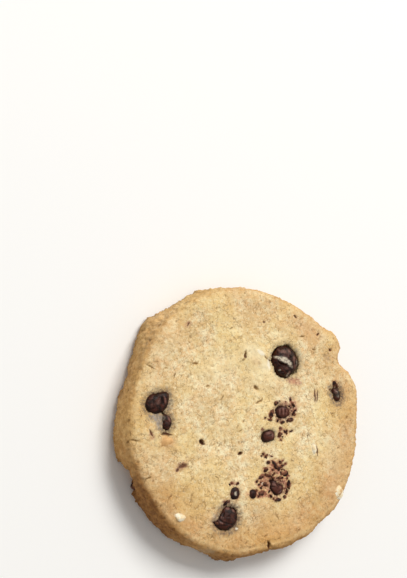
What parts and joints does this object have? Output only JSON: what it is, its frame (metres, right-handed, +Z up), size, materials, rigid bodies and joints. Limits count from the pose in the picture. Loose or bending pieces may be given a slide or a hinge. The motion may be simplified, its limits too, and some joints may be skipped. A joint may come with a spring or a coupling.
{
  "type": "praline cookie",
  "caption": "Round slice of baked shortbread cookie with dark chocolate chips, chocolate crumbs and chopped nuts, lying flat.",
  "frame": {"origin": "on the flat underside, below the middle of the cookie's box", "axes": "+Z up, from the underside to the baked top; +X and +Y lie across the slice"},
  "size_m": [0.0644, 0.0656, 0.0103],
  "materials": {
    "dough": "baked shortbread, matt and sandy, browner towards the edge",
    "chocolate": "dark chocolate that melted and set, satin"
  },
  "bodies": {
    "root": {"dough": "dough", "chip_whole": "chocolate", "chip_left": "chocolate", "chip_left_tail": "chocolate", "chip_lower": "chocolate", "chip_right": "chocolate", "chip_upper_chunk": "chocolate", "chip_middle_chunk": "chocolate", "chip_crumbled": "chocolate"}
  },
  "joints": []
}
